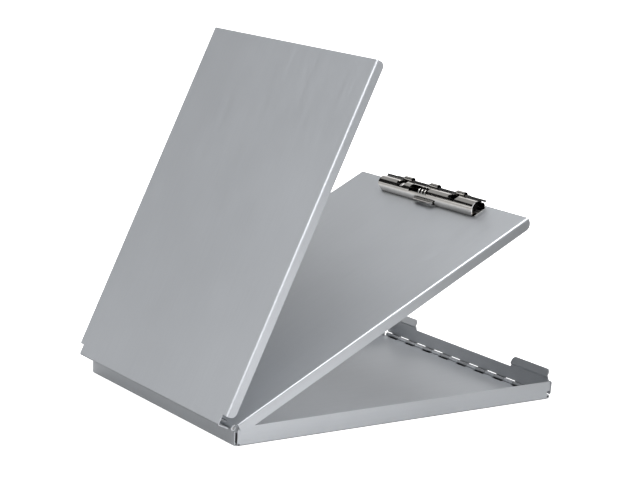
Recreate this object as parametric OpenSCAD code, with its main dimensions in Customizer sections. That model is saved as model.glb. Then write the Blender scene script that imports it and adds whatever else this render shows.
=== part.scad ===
// Sheet-metal box clipboard: a shallow tray, a hinged writing plate with a spring clip, a hinged cover
// and a hinged end latch.
// Millimetres, +Z up, +Y from the main hinge to the latch. The origin is the centre of the tray's underside.

/* [Tray] */
// Outside width of the tray
tray_w = 240; // [220:1:260]
// Outside length of the tray, from the hinge end wall to the closed latch
tray_l = 312; // [300:1:345]
// Height of the tray's side walls
wall_h = 15.2; // [14.5:0.1:16]
// Thickness of the folded aluminium sheet
sheet_t = 1; // [0.9:0.05:1.1]
// Outer radius of the folds
fold_r = 1.6; // [1.3:0.1:2.2]

/* [Main hinge] */
// Height of the main hinge axis above the desk
hinge_h = 14.6; // [14:0.1:15]
// Radius of the main hinge pin
hinge_pin_r = 1; // [0.8:0.05:1.05]
// Length of one rolled knuckle with its gap
hinge_pitch = 12.5; // [12:0.1:12.6]

/* [Writing plate] */
// Overall width of the writing plate over its side flanges
plate_w = 243; // [242.6:0.1:244]
// Length of the writing plate beyond the hinge axis
plate_l = 311.6; // [300:0.1:345]
// Depth of the side flanges, with the sheet
plate_flange = 9; // [6:0.1:10]
// Opening angle of the writing plate as it stands
plate_angle = 27.3; // [0:0.1:45]

/* [Cover] */
// Overall width of the cover over its side flanges
cover_w = 247; // [246:0.5:250]
// Length of the cover's panel
cover_l = 305; // [290:0.5:330]
// Height of the closed cover's top face above the hinge axis
cover_rise = 13.3; // [13:0.1:16]
// Depth of the cover's side flanges, with the sheet
cover_flange = 7.9; // [5:0.1:10]
// Opening angle of the cover as it stands, from closed
cover_angle = 65; // [38:0.5:110]

/* [Latch] */
// Height of the latch flap between its tabs
latch_h = 15; // [13:0.1:16]
// Outward lean of the latch flap as it stands
latch_tilt = 4; // [3:0.5:10]
// Height of the top of the two tabs when the latch is upright
tab_top = 24.4; // [22:0.1:27]
// Radius of the latch hinge pin
latch_pin_r = 0.75; // [0.6:0.05:0.8]
// Spacing of the latch's own knuckles
latch_pitch = 26.4; // [24:0.1:26.6]

/* [Clip] */
// Length of the clip's jaw
clip_l = 137; // [120:1:150]
// Depth of the clip from its lip to its rear wall
clip_d = 14.7; // [14.4:0.1:16]
// Height of the closed jaw above the writing plate
clip_h = 11; // [10.6:0.1:11.2]
// Thickness of the clip's steel
clip_t = 0.8; // [0.7:0.05:0.9]
// Radius of the clip's rod
rod_r = 0.95; // [0.8:0.05:1]
// Length of the clip's rod
rod_l = 142; // [140:1:150]
// Width of the thumb tab
thumb_w = 27.5; // [20:0.5:30]
// Reach of the thumb tab in front of the jaw
thumb_reach = 2.8; // [2.6:0.1:4.5]

/* [Hidden] */
$fn = 48;
e = 0.01;
aluminium = [0.66, 0.67, 0.69];
nickel = [0.72, 0.70, 0.67];
steel = [0.45, 0.45, 0.46];

// Running clearance of every pin in its rolled knuckles
fit = 0.05;
// Gap between neighbouring knuckles
knuckle_gap = 0.4;

end_y = -tray_l / 2;
latch_y = tray_l / 2;

// Rolled knuckle on the main hinge: middle radius of the sheet
main_mid = hinge_pin_r + fit + sheet_t / 2;
main_out = main_mid + sheet_t / 2;
axis_y = end_y + sheet_t / 2 - main_mid;
main_slot = main_out + 0.75;

// Open slot between the end wall and the side walls
corner_gap = 2.2;

// Rolled knuckle on the latch hinge
latch_mid = latch_pin_r + fit + sheet_t / 2;
latch_out = latch_mid + sheet_t / 2;
latch_axis_y = latch_y - sheet_t / 2 - latch_mid;
latch_axis_z = sheet_t / 2 + latch_mid;
latch_slot = latch_out + 0.4;
floor_gap = latch_out + 2.4;

// The main hinge has 19 knuckles: odd ones on the tray, even ones shared out between plate and cover
main_n = 19;
plate_knuckles = [0, 4, 8, 10, 14, 18];
cover_knuckles = [2, 6, 12, 16];
tray_knuckles = [1, 3, 5, 7, 9, 11, 13, 15, 17];
main_half = main_n * hinge_pitch / 2;

// The latch hinge has 9 knuckles on the flap, and 10 on the floor of which the end ones are short
flap_knuckles = [-4, -3, -2, -1, 0, 1, 2, 3, 4];
floor_knuckles = [-3.5, -2.5, -1.5, -0.5, 0.5, 1.5, 2.5, 3.5];
latch_half = 118.4 * tray_w / 240;
tab_ends = [[-114.5, -76.5], [65, 114.5]];

// Clip, in the plate's own frame: u runs from the hinge axis, v is the height over the axis
plate_top = main_out;
lip_u = plate_l - 17.6;
jaw_top = plate_top + clip_h;
rod_mid = rod_r + fit + clip_t / 2;
rod_out = rod_mid + clip_t / 2;
rod_u = lip_u + clip_d;
rod_v = jaw_top - 3.25;
jaw_arc = 6.4;
clip_stations = [-38, 0, 38];
jaw_lugs = [[-58, -45], [-11, -6.2], [27, 31.8], [44.2, 49]];
rivet_x = 37.5;
rivet_u = lip_u + 6;
rivet_r = 1.6;

// The base's knuckles are wider loops that the rod lies in, pulled down and forward
loop_in = 1.6;
loop_du = 0.4;
loop_dv = 0.48;

// ---- Frames ----

// Children are drawn in the (Y, Z) plane about the main hinge axis and run along X
module along_x(x0, x1) {
    translate([x0, 0, 0])
        rotate([90, 0, 90])
            linear_extrude(height = x1 - x0)
                children();
}

// Children are drawn in the (X, Z) plane and run along Y
module along_y(y0, y1) {
    translate([0, y1, 0])
        rotate([90, 0, 0])
            linear_extrude(height = y1 - y0)
                children();
}

module at_main_axis(angle) {
    translate([0, axis_y, hinge_h])
        rotate([angle, 0, 0])
            children();
}

module at_latch_axis(angle) {
    translate([0, latch_axis_y, latch_axis_z])
        rotate([-angle, 0, 0])
            children();
}

// ---- Sheet-metal profiles ----

// Block with its two lower corners rounded
module round_block(w, h, r) {
    translate([-w / 2, r])
        square([w, h - r]);
    translate([-w / 2 + r, 0])
        square([w - 2 * r, h]);
    for (s = [-1, 1])
        translate([s * (w / 2 - r), r])
            circle(r);
}

// Channel folded from sheet: a web of width w at the bottom and two flanges of height h
module channel(w, h, t, r) {
    difference() {
        round_block(w, h, r);
        translate([0, t])
            round_block(w - 2 * t, h, r - t);
    }
}

// Angle folded from sheet: a leg along +Y and a leg along +Z, with the outer corner at the origin
module angle_profile(a, b, t, r) {
    difference() {
        union() {
            translate([r, 0])
                square([a - r, b]);
            translate([0, r])
                square([a, b - r]);
            translate([r, r])
                circle(r);
        }
        translate([t, r])
            square([a, b]);
        translate([r, t])
            square([a, b]);
        translate([r, r])
            circle(r - t);
    }
}

// Rolled knuckle: a ring of sheet with an open seam between the angles a0 and a1
module curl(mid, t, a0, a1) {
    am = (a0 + a1) / 2;
    big = 2 * (mid + t);
    difference() {
        circle(mid + t / 2);
        circle(mid - t / 2);
        polygon([
            [0, 0],
            [big * cos(a0), big * sin(a0)],
            [big * cos(am), big * sin(am)],
            [big * cos(a1), big * sin(a1)]
        ]);
    }
}

// What is cut off a square corner to round it, the corner being at the origin and the part in +X +Y
module corner_cut(r) {
    difference() {
        translate([-1, -1])
            square([r + 1, r + 1]);
        translate([r, r])
            circle(r);
    }
}

function main_x0(i) = -main_half + i * hinge_pitch + knuckle_gap / 2;
function main_x1(i) = -main_half + (i + 1) * hinge_pitch - knuckle_gap / 2;
function latch_x0(k) = k * latch_pitch - latch_pitch / 4 + knuckle_gap / 2;
function latch_x1(k) = k * latch_pitch + latch_pitch / 4 - knuckle_gap / 2;

// ---- Tray ----

module end_wall() {
    wall_top = hinge_h - main_slot;
    translate([0, end_y, 0])
        along_x(-tray_w / 2 + 1.5, tray_w / 2 - 1.5)
            angle_profile(8, wall_top, sheet_t, fold_r);
    for (i = tray_knuckles) {
        at_main_axis(0)
            along_x(main_x0(i), main_x1(i)) {
                curl(main_mid, sheet_t, 290, 335);
                translate([main_mid - sheet_t / 2, -main_slot - 1])
                    square([sheet_t, main_slot + 1]);
            }
    }
}

module floor_knuckle(x0, x1) {
    translate([0, latch_axis_y, latch_axis_z])
        along_x(x0, x1) {
            curl(latch_mid, sheet_t, 200, 245);
            translate([-floor_gap - 1, -latch_mid - sheet_t / 2])
                square([floor_gap + 1, sheet_t]);
        }
}

module tray() {
    floor_end = latch_axis_y - floor_gap;
    color(aluminium) {
        difference() {
            along_y(end_y + corner_gap, latch_y - 1.4)
                channel(tray_w, wall_h, sheet_t, fold_r);
            // the floor stops short of the latch hinge
            translate([-tray_w / 2 + sheet_t, floor_end, -1])
                cube([tray_w - 2 * sheet_t, 20, 8]);
            // notches that clear the ends of the latch hinge
            for (s = [-1, 1])
                translate([s * tray_w / 2 - 2, latch_y - 4.4, -1])
                    cube([4, 20, 8]);
            // rounded upper corners of the side walls at the hinge end
            for (s = [-1, 1])
                translate([s * tray_w / 2 - 2, end_y + corner_gap, wall_h])
                    along_x(0, 4)
                        mirror([0, 1])
                            corner_cut(3.5);
            // relief at the folded corners by the end wall
            for (s = [-1, 1])
                translate([s * tray_w / 2 - 3, end_y, -1])
                    cube([6, 4.4, 3]);
        }
        end_wall();
        // tabs of the side walls, folded in behind the end wall
        for (s = [-1, 1])
            translate([s * (tray_w / 2 - 6) - 5.5, end_y + corner_gap, 2.2])
                cube([11, sheet_t, 8.2]);
        for (k = floor_knuckles)
            floor_knuckle(latch_x0(k), latch_x1(k));
        floor_knuckle(latch_x1(4) + knuckle_gap, latch_half);
        floor_knuckle(-latch_half, latch_x0(-4) - knuckle_gap);
    }
}

module main_hinge_pin() {
    color(steel)
        at_main_axis(0)
            translate([-main_half + 0.6, 0, 0])
                rotate([0, 90, 0])
                    cylinder(r = hinge_pin_r, h = 2 * main_half - 1.2);
}

module latch_hinge_pin() {
    color(steel)
        at_latch_axis(0)
            translate([-latch_half + 3, 0, 0])
                rotate([0, 90, 0])
                    cylinder(r = latch_pin_r, h = 2 * latch_half - 6);
}

// ---- Writing plate ----

module plate_strip(x0, x1) {
    along_x(x0, x1) {
        curl(main_mid, sheet_t, 15, 58);
        translate([0, main_mid - sheet_t / 2])
            square([main_slot + 1, sheet_t]);
    }
}

module writing_plate() {
    flange_start = 3.6;
    color(aluminium)
        at_main_axis(plate_angle) {
            difference() {
                translate([0, 0, plate_top])
                    mirror([0, 0, 1])
                        along_y(main_slot, plate_l)
                            channel(plate_w, plate_flange, sheet_t, fold_r);
                // the flanges start beyond the hinge and end in rounded corners
                for (s = [-1, 1])
                    translate([s * plate_w / 2, 0, 0]) {
                        translate([-2, 0, -20])
                            cube([4, flange_start, 40]);
                        translate([-2, flange_start, plate_top - plate_flange])
                            along_x(0, 4)
                                corner_cut(5);
                        translate([-2, plate_l, plate_top - plate_flange])
                            along_x(0, 4)
                                mirror([1, 0])
                                    corner_cut(6);
                    }
                // rivet holes under the clip
                for (s = [-1, 1])
                    translate([s * rivet_x, rivet_u, 0])
                        cylinder(r = rivet_r + fit, h = 2 * plate_top);
            }
            for (i = plate_knuckles)
                plate_strip(main_x0(i), main_x1(i));
        }
}

// ---- Cover ----

module cover() {
    notch_w = 7;
    notch_l = 9;
    flange_u = notch_l - main_mid - sheet_t / 2;
    far_u = cover_l - main_mid - sheet_t / 2;
    leaf_h = cover_rise - main_slot;
    color(aluminium)
        at_main_axis(cover_angle) {
            difference() {
                translate([0, 0, cover_rise])
                    mirror([0, 0, 1])
                        along_y(flange_u, far_u)
                            channel(cover_w, cover_flange, sheet_t, fold_r);
                // rounded ends of the side flanges
                for (s = [-1, 1])
                    translate([s * cover_w / 2 - 2, 0, cover_rise - cover_flange]) {
                        translate([0, flange_u, 0])
                            along_x(0, 4)
                                corner_cut(4.8);
                        translate([0, far_u, 0])
                            along_x(0, 4)
                                mirror([1, 0])
                                    corner_cut(4.5);
                    }
            }
            // panel and end leaf, folded in one, between the two corner notches
            translate([0, -main_out, cover_rise])
                mirror([0, 0, 1])
                    along_x(-cover_w / 2 + notch_w, cover_w / 2 - notch_w)
                        angle_profile(notch_l + 1, leaf_h, sheet_t, fold_r);
            for (i = cover_knuckles)
                along_x(main_x0(i), main_x1(i)) {
                    curl(main_mid, sheet_t, 110, 155);
                    translate([-main_mid - sheet_t / 2, 0])
                        square([sheet_t, main_slot + 1]);
                }
        }
}

// ---- Latch ----

// Tab in section: upright, then a crease inward over the plate's edge, then a flare outward
module tab_profile() {
    y0 = latch_mid - sheet_t / 2;
    foot = latch_h - latch_axis_z - 1;
    lift = 16.95 - latch_axis_z;
    ridge = lift + 1.1;
    top = tab_top - latch_axis_z;
    in = 1.1;
    out = 1.8;
    polygon([
        [y0, foot], [y0, lift], [y0 - in, ridge], [y0 - in, ridge + 0.7], [y0 + out - 0.5, top],
        [y0 + out + 0.5, top - 0.25], [y0 - in + 1.05, ridge + 0.6], [y0 + sheet_t, lift + 0.45],
        [y0 + sheet_t, foot]
    ]);
}

module latch_flap() {
    x_end = tray_w / 2 - 0.4;
    y0 = latch_mid - sheet_t / 2;
    top = latch_h - latch_axis_z;
    color(aluminium)
        at_latch_axis(latch_tilt) {
            difference() {
                translate([-x_end, y0, latch_slot])
                    cube([2 * x_end, sheet_t, top - latch_slot]);
                for (s = [-1, 1]) {
                    translate([0, y0 + sheet_t + 1, 0])
                        mirror([s < 0 ? 1 : 0, 0, 0])
                            translate([x_end, 0, latch_slot])
                                rotate([90, 0, 0])
                                    linear_extrude(height = sheet_t + 2)
                                        mirror([1, 0])
                                            corner_cut(0.7);
                    translate([0, y0 + sheet_t + 1, 0])
                        mirror([s < 0 ? 1 : 0, 0, 0])
                            translate([x_end, 0, top])
                                rotate([90, 0, 0])
                                    linear_extrude(height = sheet_t + 2)
                                        rotate(180)
                                            corner_cut(1.6);
                }
            }
            for (ends = tab_ends)
                intersection() {
                    along_x(ends[0], ends[1])
                        tab_profile();
                    translate([(ends[0] + ends[1]) / 2, y0 + 6, top - 1.5])
                        along_y(-12, 0)
                            tab_outline(ends[1] - ends[0], tab_top - latch_h + 1.5, 4.2);
                }
            for (ends = tab_ends, i = [0, 1])
                translate([ends[i], y0 + sheet_t, top])
                    rotate([90, 0, 0])
                        linear_extrude(height = sheet_t)
                            mirror([1 - i, 0])
                                tab_fillet(2);
            for (k = flap_knuckles)
                along_x(latch_x0(k), latch_x1(k)) {
                    curl(latch_mid, sheet_t, 40, 105);
                    translate([y0, 0])
                        square([sheet_t, latch_slot + 1]);
                }
        }
}

// Hollow fillet between a tab's side and the flap's top edge
module tab_fillet(r) {
    difference() {
        translate([-0.6, -0.6])
            square([r + 0.6, r + 0.6]);
        translate([r, r])
            circle(r);
    }
}

// Tab seen from the front: a block with rounded upper corners
module tab_outline(w, h, r) {
    translate([-w / 2, 0])
        square([w, h - r]);
    translate([-w / 2 + r, 0])
        square([w - 2 * r, h]);
    for (s = [-1, 1])
        translate([s * (w / 2 - r), h - r])
            circle(r);
}

// ---- Clip ----

module clip_base() {
    front = lip_u + 1.4;
    rear = rod_u - 0.1;
    wall_y = rear - clip_t;
    color(nickel)
        at_main_axis(plate_angle)
            difference() {
                union() {
                    along_x(-clip_l / 2, clip_l / 2)
                        translate([rear, plate_top])
                            mirror([1, 0])
                                angle_profile(rear - front, rod_v - rod_out - 0.35 - plate_top, clip_t, 1.4);
                    for (x = clip_stations)
                        along_x(x - 5.5, x + 5.5) {
                            translate([rod_u + loop_du, rod_v + loop_dv])
                                curl(loop_in + clip_t / 2, clip_t, 182, 222);
                            translate([wall_y, rod_v - rod_out - 0.8])
                                square([clip_t, rod_out - rod_r + 0.55]);
                        }
                }
                for (s = [-1, 1])
                    translate([s * rivet_x, rivet_u, plate_top - 1])
                        cylinder(r = rivet_r + fit, h = 4);
            }
}

// The jaw in section: an upright lip and a round arch that ends in front of the rod
module jaw_profile() {
    foot = plate_top + 0.3;
    knee = jaw_top - jaw_arc;
    translate([lip_u, foot])
        square([clip_t, knee - foot]);
    translate([lip_u + jaw_arc, knee])
        intersection() {
            difference() {
                circle(jaw_arc, $fn = 96);
                circle(jaw_arc - clip_t, $fn = 96);
            }
            polygon([[0, 0], [-12, 0], [-12, 12], [12 * cos(52), 12 * sin(52)]]);
        }
    translate([lip_u + jaw_arc + (jaw_arc - clip_t) * cos(52), knee + (jaw_arc - clip_t) * sin(52)])
        rotate(-28)
            square([rod_u - 1.9 - lip_u - jaw_arc - (jaw_arc - clip_t) * cos(52), clip_t]);
}

// Lug of the jaw, a cradle rolled under the rod and open above it
module jaw_lug(x0, x1) {
    along_x(x0, x1)
        translate([rod_u, rod_v]) {
            curl(rod_mid, clip_t, 5, 165);
            polygon([[-2.6, 0.08], [-2.25, 0.76], [-1.3, 0.45], [-1.2, -0.3]]);
        }
}

module clip_jaw() {
    tab_v = plate_top + 4.6;
    color(nickel)
        at_main_axis(plate_angle) {
            difference() {
                along_x(-clip_l / 2, clip_l / 2)
                    jaw_profile();
                // room for the base's three knuckles
                for (x = clip_stations)
                    translate([x - 6, rod_u - 2.6, plate_top + 3])
                        cube([12, 10, 20]);
                // window over the spring
                translate([-22.5, lip_u - 1, plate_top + 8])
                    cube([26, 9.4, 20]);
                // holes over the two rivets, open towards the knuckles
                for (s = [-1, 1]) {
                    for (side = [-1.5, 1.5])
                        translate([s * rivet_x + side, rivet_u + 0.7, plate_top + 6])
                            cylinder(r = 4.4, h = 20);
                    translate([s * rivet_x - 1.5, rivet_u - 3.7, plate_top + 6])
                        cube([3, 8.8, 20]);
                    translate([s * rivet_x - 2, rivet_u, plate_top + 6])
                        cube([4, 12, 20]);
                }
                // the lip's lower corners are cut off at a slant
                for (s = [-1, 1])
                    translate([0, lip_u + 3, plate_top])
                        rotate([90, 0, 0])
                            linear_extrude(height = 5)
                                polygon([
                                    [s * (clip_l / 2 + 1), -1], [s * (clip_l / 2 + 1), 7],
                                    [s * clip_l / 2, 7], [s * (clip_l / 2 - 2.8), -1]
                                ]);
                // the lip is cut away under the thumb tab
                translate([-thumb_w / 2 - 0.6, lip_u - 1, plate_top - 1])
                    cube([thumb_w + 1.2, 3, 1 + tab_v - 0.6 - plate_top]);
                for (s = [-1, 1])
                    translate([s * (thumb_w / 2 + 0.3) - 0.3, lip_u - 1, plate_top - 1])
                        cube([0.6, 3, 1 + tab_v + 0.5 - plate_top]);
            }
            // thumb tab, bent forward out of the lip
            intersection() {
                along_x(-thumb_w / 2, thumb_w / 2)
                    polygon([
                        [lip_u + clip_t, tab_v + 0.6], [lip_u, tab_v + 0.6], [lip_u - 0.4, tab_v + 0.15],
                        [lip_u - thumb_reach + 1.2, tab_v - 0.1], [lip_u - thumb_reach, tab_v + 0.5],
                        [lip_u - thumb_reach - 0.35, tab_v - 0.2], [lip_u - thumb_reach + 1.1, tab_v - 0.9],
                        [lip_u + clip_t, tab_v - 0.65]
                    ]);
                translate([0, lip_u + 2, plate_top])
                    linear_extrude(height = 8)
                        rotate(180)
                            tab_outline(thumb_w, thumb_reach + 2.4, 2.4);
            }
            for (span = jaw_lugs)
                jaw_lug(span[0], span[1]);
        }
}

module clip_rod() {
    color(steel)
        at_main_axis(plate_angle)
            translate([-rod_l / 2, rod_u, rod_v])
                rotate([0, 90, 0])
                    cylinder(r = rod_r, h = rod_l);
}

// Helical tube swept along X: wire radius wr on a coil of radius cr
module coil(cr, wr, pitch, turns) {
    sides = 8;
    steps = 16;
    rings = turns * steps;
    pts = [
        for (i = [0:rings])
            for (j = [0:sides - 1])
                let (a = 360 * i / steps, b = 360 * j / sides, r = cr + wr * cos(b))
                    [pitch * i / steps + wr * sin(b), r * cos(a), r * sin(a)]
    ];
    walls = [
        for (i = [0:rings - 1])
            for (j = [0:sides - 1])
                [i * sides + j, i * sides + (j + 1) % sides,
                 (i + 1) * sides + (j + 1) % sides, (i + 1) * sides + j]
    ];
    caps = [
        [for (j = [0:sides - 1]) sides - 1 - j],
        [for (j = [0:sides - 1]) rings * sides + j]
    ];
    polyhedron(points = pts, faces = concat(walls, caps));
}

module clip_spring() {
    color(nickel)
        at_main_axis(plate_angle)
            translate([-11.5, lip_u + 5.35, plate_top + 6])
                coil(3.1, 0.6, 4.4, 3);
}

// Domed rivet; its head stands on a collar of the given height
module rivet(collar) {
    head_v = plate_top + clip_t;
    translate([0, 0, plate_top - sheet_t - 0.7])
        cylinder(r = 3, h = 0.7);
    translate([0, 0, plate_top - sheet_t - 0.1])
        cylinder(r = rivet_r, h = sheet_t + clip_t + 0.2);
    translate([0, 0, head_v])
        cylinder(r = 2.8, h = collar + e);
    translate([0, 0, head_v + collar])
        rotate_extrude()
            intersection() {
                translate([0, -3.8])
                    circle(4.73);
                square([2.8, 2]);
            }
}

module clip_rivets() {
    color(steel)
        at_main_axis(plate_angle) {
            translate([-rivet_x, rivet_u, 0])
                rivet(7.6);
            translate([rivet_x, rivet_u, 0])
                rivet(0.2);
        }
}

tray();
main_hinge_pin();
writing_plate();
cover();
latch_flap();
latch_hinge_pin();
clip_base();
clip_jaw();
clip_rod();
clip_spring();
clip_rivets();
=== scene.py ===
import math
import bpy
from mathutils import Matrix, Vector

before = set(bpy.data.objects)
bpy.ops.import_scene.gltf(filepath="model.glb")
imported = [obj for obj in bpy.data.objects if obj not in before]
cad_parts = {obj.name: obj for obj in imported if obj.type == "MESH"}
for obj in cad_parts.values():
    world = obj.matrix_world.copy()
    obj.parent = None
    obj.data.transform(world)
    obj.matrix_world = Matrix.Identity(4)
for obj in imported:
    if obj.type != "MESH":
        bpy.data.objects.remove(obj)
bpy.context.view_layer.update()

# Metres, in the CAD frame: +Y runs from the main hinge to the latch, +X is the near side.
scene = bpy.context.scene

# How far the two hinged sheets stand open, so that their grain can run along them
PLATE_TILT = math.radians(27.3)
COVER_TILT = math.radians(65.0)

# Colours of the metals
ALUMINIUM = (0.58, 0.60, 0.627)
COVER_ALUMINIUM = (0.562, 0.583, 0.612)
# darker than the other aluminium: painted shade for the latch flap, which stands under the writing plate
SHADED_LATCH_ALUMINIUM = (0.445, 0.458, 0.477)
BASE_NICKEL = (0.92, 0.89, 0.845)
JAW_NICKEL = (0.95, 0.92, 0.88)
SPRING_WIRE = (0.66, 0.65, 0.63)
RIVET_STEEL = (0.58, 0.57, 0.56)


def grey(tone):
    return (tone, tone, tone)


PIN_STEEL = grey(0.42)
LATCH_PIN_STEEL = grey(0.30)
ROD_STEEL = grey(0.13)


# ---- Node helpers ----

def new_material(name):
    """A material with an output and one Principled shader; gives the material, its tree and the shader."""
    material = bpy.data.materials.new(name)
    material.use_nodes = True
    nt = material.node_tree
    nt.nodes.clear()
    out = nt.nodes.new("ShaderNodeOutputMaterial")
    shader = nt.nodes.new("ShaderNodeBsdfPrincipled")
    nt.links.new(shader.outputs[0], out.inputs[0])
    return material, nt, shader


def feed(nt, socket, value):
    """Sets a socket to a number, or links it to another node's output."""
    if isinstance(value, (int, float)):
        socket.default_value = value
    else:
        nt.links.new(value, socket)


def coords(nt, tilt=0.0, scale=(1, 1, 1)):
    """Object coordinates turned with the sheet, so that its grain runs along it."""
    place = nt.nodes.new("ShaderNodeTexCoord")
    turned = nt.nodes.new("ShaderNodeMapping")
    turned.inputs["Rotation"].default_value = (-tilt, 0, 0)
    scaled = nt.nodes.new("ShaderNodeMapping")
    scaled.inputs["Scale"].default_value = scale
    nt.links.new(place.outputs["Object"], turned.inputs["Vector"])
    nt.links.new(turned.outputs[0], scaled.inputs["Vector"])
    return scaled.outputs[0]


def noise(nt, vector, scale, detail=3, rough=0.5):
    node = nt.nodes.new("ShaderNodeTexNoise")
    node.inputs["Scale"].default_value = scale
    node.inputs["Detail"].default_value = detail
    node.inputs["Roughness"].default_value = rough
    nt.links.new(vector, node.inputs["Vector"])
    return node.outputs["Fac"]


def ramp(nt, value, stops):
    """A colour ramp through (position, colour) stops."""
    node = nt.nodes.new("ShaderNodeValToRGB")
    marks = node.color_ramp.elements
    for mark, (position, color) in zip(marks, (stops[0], stops[-1])):
        mark.position = position
        mark.color = (*color, 1)
    for position, color in stops[1:-1]:
        marks.new(position).color = (*color, 1)
    nt.links.new(value, node.inputs["Fac"])
    return node.outputs["Color"]


def slope(nt, value, start, end, lo=0.0, hi=1.0, smooth=False):
    """Runs from lo to hi as the value goes from start to end, and stays level outside them."""
    node = nt.nodes.new("ShaderNodeMapRange")
    if smooth:
        node.interpolation_type = "SMOOTHSTEP"
    node.inputs["From Min"].default_value = start
    node.inputs["From Max"].default_value = end
    node.inputs["To Min"].default_value = lo
    node.inputs["To Max"].default_value = hi
    nt.links.new(value, node.inputs["Value"])
    return node.outputs["Result"]


def spread(nt, value, lo, hi):
    """Spreads the middle half of a noise over lo to hi."""
    return slope(nt, value, 0.25, 0.75, lo, hi)


def calc(nt, kind, a, b):
    node = nt.nodes.new("ShaderNodeMath")
    node.operation = kind
    feed(nt, node.inputs[0], a)
    feed(nt, node.inputs[1], b)
    return node.outputs[0]


def vector_calc(nt, kind, a, b=None):
    node = nt.nodes.new("ShaderNodeVectorMath")
    node.operation = kind
    nt.links.new(a, node.inputs[0])
    if b:
        node.inputs[1].default_value = b
    return node.outputs["Value"]


def blend_value(nt, share, a, b):
    """Number a where the share is 0, and b where it is 1."""
    node = nt.nodes.new("ShaderNodeMix")
    feed(nt, node.inputs[0], share)
    feed(nt, node.inputs[2], a)
    feed(nt, node.inputs[3], b)
    return node.outputs[0]


def blend_color(nt, share, a, color):
    """Colour a where the share is 0, and one fixed colour where it is 1."""
    node = nt.nodes.new("ShaderNodeMix")
    node.data_type = "RGBA"
    nt.links.new(share, node.inputs["Factor"])
    nt.links.new(a, node.inputs[6])
    node.inputs[7].default_value = (*color, 1)
    return node.outputs[2]


def multiply(nt, a, b):
    node = nt.nodes.new("ShaderNodeMix")
    node.data_type = "RGBA"
    node.blend_type = "MULTIPLY"
    node.inputs["Factor"].default_value = 1.0
    nt.links.new(a, node.inputs[6])
    nt.links.new(b, node.inputs[7])
    return node.outputs[2]


def bump(nt, height, strength, distance, normal=None):
    node = nt.nodes.new("ShaderNodeBump")
    node.inputs["Strength"].default_value = strength
    node.inputs["Distance"].default_value = distance
    nt.links.new(height, node.inputs["Height"])
    if normal is not None:
        nt.links.new(normal, node.inputs["Normal"])
    return node.outputs["Normal"]


def painted_crevice_shade(nt, color, reach, dark, knee=0.15, span=0.5, alone=True):
    """Darkens a colour where the sheet folds into a corner or a hollow: painted shade. With alone off,
    other pieces close by count too, so that their shade is painted on it as well."""
    node = nt.nodes.new("ShaderNodeAmbientOcclusion")
    node.only_local = alone
    node.samples = 12
    node.inputs["Distance"].default_value = reach
    shade = ramp(nt, node.outputs["AO"], [(knee, grey(dark)), (knee + span, grey(1))])
    return multiply(nt, color, shade)


# ---- Metals ----

def sheet_metal(name, color, tilt=0.0, near=(0.004, 0.10, 0.30)):
    """Mill-finish aluminium: fine rolling grain along the sheet, soft cloudy tone, faint dents, painted
    shade in its folds.
    near is the reach, knee and span of the painted shade beside other pieces."""
    tone = 0.025
    reach, knee, span = near
    material, nt, shader = new_material(name)
    shader.inputs["Metallic"].default_value = 1.0
    along = coords(nt, tilt, (1.0, 0.035, 1.0))
    free = coords(nt, tilt)
    fine = noise(nt, along, 2600, 2, 0.6)
    streak = noise(nt, along, 420, 3, 0.55)
    cloud = noise(nt, free, 9, 3, 0.5)
    dull = tuple(c * (1 - tone) for c in color)
    bright = tuple(c * (1 + tone) for c in color)
    base = ramp(nt, cloud, [(0.3, dull), (0.7, bright)])
    lines = ramp(nt, streak, [(0.3, grey(1 - 0.45 * tone)), (0.7, grey(1))])
    # painted shade in the sheet's own folds, then painted shade beside other pieces close by
    skin = painted_crevice_shade(nt, multiply(nt, base, lines), 0.003, 0.25)
    skin = painted_crevice_shade(nt, skin, reach, 0.06, knee, span, alone=False)
    nt.links.new(skin, shader.inputs["Base Color"])
    gloss = noise(nt, along, 700, 3, 0.6)
    nt.links.new(spread(nt, gloss, 0.42, 0.50), shader.inputs["Roughness"])
    grain = bump(nt, fine, 0.12, 0.00004)
    dents = bump(nt, cloud, 0.10, 0.0006, grain)
    nt.links.new(dents, shader.inputs["Normal"])
    return material


def plated(name, color, rough, near=None):
    """Bright plate or plain steel: a polished skin with slight ripple, tiny pits, soft stains and painted
    shade in its hollows.
    near is the reach, knee and span of the painted shade beside other pieces."""
    material, nt, shader = new_material(name)
    shader.inputs["Metallic"].default_value = 1.0
    place = coords(nt)
    stain = noise(nt, place, 160, 4, 0.6)
    pits = noise(nt, place, 3200, 2, 0.5)
    stained = tuple(c * 0.92 for c in color)
    base = ramp(nt, stain, [(0.35, stained), (0.65, color)])
    # painted shade in the piece's own hollows, and beside other pieces when near is given
    skin = painted_crevice_shade(nt, base, 0.010, 0.03, knee=0.4)
    if near:
        reach, knee, span = near
        skin = painted_crevice_shade(nt, skin, reach, 0.03, knee, span, alone=False)
    nt.links.new(skin, shader.inputs["Base Color"])
    nt.links.new(spread(nt, stain, *rough), shader.inputs["Roughness"])
    pitted = bump(nt, pits, 0.05, 0.00002)
    rippled = bump(nt, stain, 0.05, 0.0002, pitted)
    nt.links.new(rippled, shader.inputs["Normal"])
    return material


def give(node, material):
    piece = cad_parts[node]
    if not piece.material_slots:
        piece.data.materials.append(material)
    for slot in piece.material_slots:
        slot.link = "OBJECT"
        slot.material = material


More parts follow.
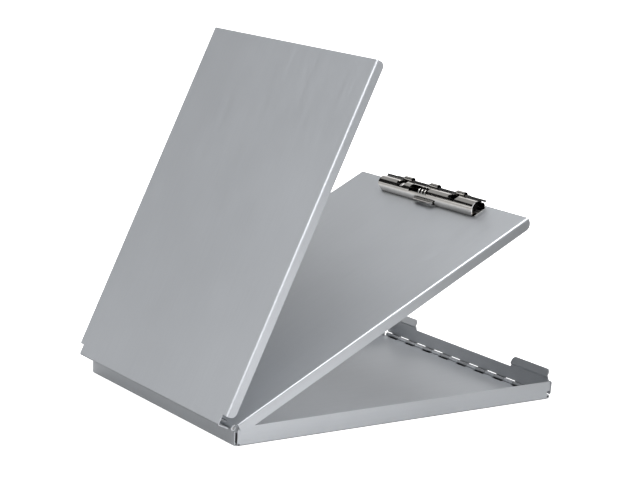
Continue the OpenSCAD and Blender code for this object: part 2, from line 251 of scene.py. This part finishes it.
give("tray", sheet_metal("tray_aluminium", ALUMINIUM))
give("writing_plate", sheet_metal("plate_aluminium", ALUMINIUM, PLATE_TILT, near=(0.008, 0.35, 0.25)))
give("cover", sheet_metal("cover_aluminium", COVER_ALUMINIUM, COVER_TILT))
give("latch_flap", sheet_metal("latch_aluminium", SHADED_LATCH_ALUMINIUM))
give("main_hinge_pin", plated("hinge_pin_steel", PIN_STEEL, (0.25, 0.4)))
give("latch_hinge_pin", plated("latch_pin_steel", LATCH_PIN_STEEL, (0.25, 0.4)))
give("clip_base", plated("clip_base_nickel", BASE_NICKEL, (0.08, 0.16), near=(0.014, 0.25, 0.35)))
give("clip_jaw", plated("clip_jaw_nickel", JAW_NICKEL, (0.05, 0.10), near=(0.009, 0.42, 0.55)))
give("clip_rod", plated("clip_rod_steel", ROD_STEEL, (0.18, 0.3)))
give("clip_spring", plated("clip_spring_wire", SPRING_WIRE, (0.15, 0.25)))
give("clip_rivets", plated("clip_rivet_steel", RIVET_STEEL, (0.32, 0.42)))


# ---- Studio floor ----

def ground(name, half_x, half_y, z, material):
    """A flat staged rectangle centred under the object."""
    mesh = bpy.data.meshes.new(name)
    corners = [(-half_x, -half_y, 0), (half_x, -half_y, 0), (half_x, half_y, 0), (-half_x, half_y, 0)]
    mesh.from_pydata(corners, [], [(0, 1, 2, 3)])
    mesh.materials.append(material)
    sheet = bpy.data.objects.new(name, mesh)
    sheet.location.z = z
    scene.collection.objects.link(sheet)


def floor_paper():
    """White to the camera. What the sheets mirror of it carries painted shade and painted light, graded
    round the tray.
    """
    tone = 0.63
    material, nt, shader = new_material("studio_white")
    place = coords(nt)
    axes = nt.nodes.new("ShaderNodeSeparateXYZ")
    nt.links.new(place, axes.inputs[0])
    x = axes.outputs["X"]
    y = axes.outputs["Y"]
    radius = vector_calc(nt, "LENGTH", place)
    across = vector_calc(nt, "DOT_PRODUCT", place, (-0.6, 1.0, 0.0))
    # painted shade close by, along the tray's side and darkest behind its hinge end
    side = slope(nt, y, -0.16, 0.28, tone * 1.12, tone * 0.70)
    end = slope(nt, x, -0.14, 0.14, tone * 0.46, tone * 0.36)
    close = blend_value(nt, slope(nt, y, -0.15, -0.175, smooth=True), side, end)
    # farther off, painted light paler towards the latch, and on the near side painted shade, darker the
    # farther it lies past it
    left = slope(nt, y, -0.30, 0.30, tone * 0.55, tone * 1.32)
    right = slope(nt, across, -0.19, 0.05, tone * 1.6, 0.0)
    far = blend_value(nt, slope(nt, x, 0.10, 0.25, smooth=True), left, right)
    graded = blend_value(nt, slope(nt, radius, 0.24, 0.40, smooth=True), close, far)
    color = nt.nodes.new("ShaderNodeCombineColor")
    for channel in range(3):
        nt.links.new(graded, color.inputs[channel])
    nt.links.new(color.outputs[0], shader.inputs["Base Color"])
    shader.inputs["Roughness"].default_value = 0.9
    shader.inputs["Specular IOR Level"].default_value = 0.0
    shader.inputs["Emission Color"].default_value = (1, 1, 1, 1)
    ray = nt.nodes.new("ShaderNodeLightPath")
    nt.links.new(ray.outputs["Is Camera Ray"], shader.inputs["Emission Strength"])
    return material


def painted_shadow_paper():
    material, nt, shader = new_material("painted_shadow_black")
    fibre = noise(nt, coords(nt), 60, 2)
    # near-black: painted shadow for what lies under the tray
    nt.links.new(ramp(nt, fibre, [(0.3, grey(0.012)), (0.7, grey(0.018))]), shader.inputs["Base Color"])
    shader.inputs["Roughness"].default_value = 0.9
    shader.inputs["Specular IOR Level"].default_value = 0.1
    return material


ground("studio_floor", 14.0, 14.0, -0.0002, floor_paper())
# a black card under the tray, just inside its outline: painted shadow, so that the slots in its floor look
# dark
ground("painted_shadow_card", 0.1185, 0.1545, -0.0001, painted_shadow_paper())


# ---- Studio walls and lights ----

def studio_world():
    """Soft white walls and ceiling. On the left there is a black flag low down, a bright panel
    before it and a pale wall to the rear. To the camera all of it is plain white."""
    low_wall = 0.64
    high_wall = 0.29
    ceiling = 0.52
    rear_wall = 0.80
    panel_white = 1.6
    flag_black = 0.01
    world = bpy.data.worlds.new("studio")
    scene.world = world
    world.use_nodes = True
    nt = world.node_tree
    backdrop = nt.nodes["Background"]
    place = nt.nodes.new("ShaderNodeTexCoord")
    axes = nt.nodes.new("ShaderNodeSeparateXYZ")
    nt.links.new(place.outputs["Generated"], axes.inputs[0])
    x = axes.outputs["X"]
    y = axes.outputs["Y"]
    z = axes.outputs["Z"]

    def step(value, start, end):
        return slope(nt, value, start, end, smooth=True)

    def window(value, start, end, soft):
        return calc(nt, "MULTIPLY", step(value, start - soft, start), step(value, end + soft, end))

    def patch(sideways, upright):
        return calc(nt, "MULTIPLY", left, calc(nt, "MULTIPLY", sideways, upright))

    # slope of the direction on the left side, seen from above: 0 is -X, 1 is halfway to -Y
    turn = calc(nt, "DIVIDE", y, calc(nt, "MINIMUM", x, -0.05))
    left = step(x, 0.0, -0.2)
    walls = ramp(nt, z, [
        (0.0, grey(low_wall)), (0.20, grey(low_wall)),
        (0.46, grey(high_wall)), (0.62, grey(high_wall)),
        (1.0, grey(ceiling))])
    rear = patch(step(turn, -0.15, -0.40), step(z, 0.50, 0.42))
    panel = patch(step(turn, 0.80, 0.90), window(z, 0.06, 0.65, 0.05))
    flag = patch(window(turn, 0.28, 0.74, 0.04), window(z, 0.10, 0.53, 0.02))
    seen = blend_color(nt, rear, walls, grey(rear_wall))
    seen = blend_color(nt, panel, seen, grey(panel_white))
    seen = blend_color(nt, flag, seen, grey(flag_black))
    ray = nt.nodes.new("ShaderNodeLightPath")
    nt.links.new(blend_color(nt, ray.outputs["Is Camera Ray"], seen, grey(1)), backdrop.inputs[0])
    backdrop.inputs[1].default_value = 1.0


def softbox(name, place, aim, size, power):
    light = bpy.data.lights.new(name, "AREA")
    light.size = size
    light.energy = power
    lamp = bpy.data.objects.new(name, light)
    lamp.location = place
    lamp.rotation_euler = (Vector(aim) - Vector(place)).to_track_quat("-Z", "Y").to_euler()
    scene.collection.objects.link(lamp)


studio_world()
softbox("top_softbox", (0.3, 0.0, 2.6), (0, 0, 0), 2.6, 84)
softbox("front_softbox", (1.6, -1.9, 1.5), (0, 0, 0.1), 1.6, 30)


# ---- Camera ----

def camera():
    """Looks at the near side and the hinge end, a little from above."""
    turn = math.radians(56.34)
    height = math.radians(11.40)
    roll = math.radians(2.26)
    distance = 1.747
    target = Vector((-0.0290, 0.0140, 0.1203))
    level = math.cos(height)
    back = Vector((math.sin(turn) * level, -math.cos(turn) * level, math.sin(height)))
    right = Vector((math.cos(turn), math.sin(turn), 0))
    up = back.cross(right)
    rolled_right = math.cos(roll) * right + math.sin(roll) * up
    rolled_up = math.cos(roll) * up - math.sin(roll) * right
    lens = bpy.data.cameras.new("camera")
    lens.sensor_width = 36
    lens.lens = 114.4
    lens.clip_start = 0.02
    lens.clip_end = 60
    eye = bpy.data.objects.new("camera", lens)
    facing = Matrix((rolled_right, rolled_up, back)).transposed().to_4x4()
    eye.matrix_world = Matrix.Translation(target + back * distance) @ facing
    scene.collection.objects.link(eye)
    scene.camera = eye


camera()
scene.view_settings.view_transform = "Standard"
scene.view_settings.look = "None"
